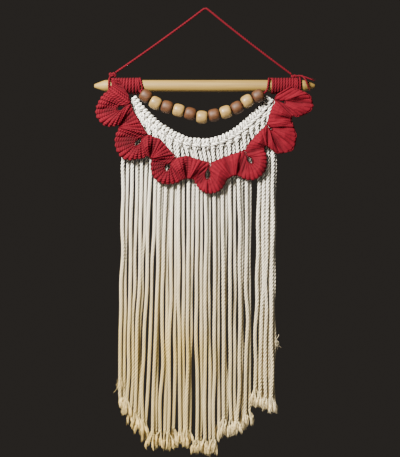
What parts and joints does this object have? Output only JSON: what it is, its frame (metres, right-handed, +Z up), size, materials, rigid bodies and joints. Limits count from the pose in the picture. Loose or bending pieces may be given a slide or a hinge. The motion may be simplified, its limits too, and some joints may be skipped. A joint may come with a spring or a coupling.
{
  "type": "macrame wall hanging on a dowel",
  "caption": "Macrame wall hanging on a wooden dowel: long white corded fringe from an arc of lark's heads, a red knotted ruffle over it, a string of wooden beads, and a hanger cord",
  "frame": {"origin": "inside of the hanger cord's apex, where the cord lies on the nail that holds it", "axes": "X along the dowel, to the right as seen from the front; the front faces -Y; Z up"},
  "size_m": [0.3, 0.0297, 0.6041],
  "materials": {
    "birch": "sanded, unvarnished",
    "white_cotton": "three-ply twisted cotton cord, undyed",
    "red_cotton": "twisted cotton cord, dyed crimson",
    "brown_bead": "stained and varnished",
    "light_bead": "clear varnish"
  },
  "bodies": {
    "root": {"bead_01": "brown_bead", "bead_02": "light_bead", "bead_03": "brown_bead", "bead_04": "light_bead", "bead_05": "brown_bead", "bead_06": "light_bead", "bead_07": "brown_bead", "bead_08": "light_bead", "bead_09": "brown_bead", "bead_10": "light_bead", "bead_11": "brown_bead", "bead_string": "red_cotton", "dowel": "birch", "hanger_cord": "red_cotton", "hanger_tie_left": "red_cotton", "hanger_tie_right": "red_cotton", "header_fringe": "white_cotton", "ruffle": "red_cotton"}
  },
  "joints": []
}
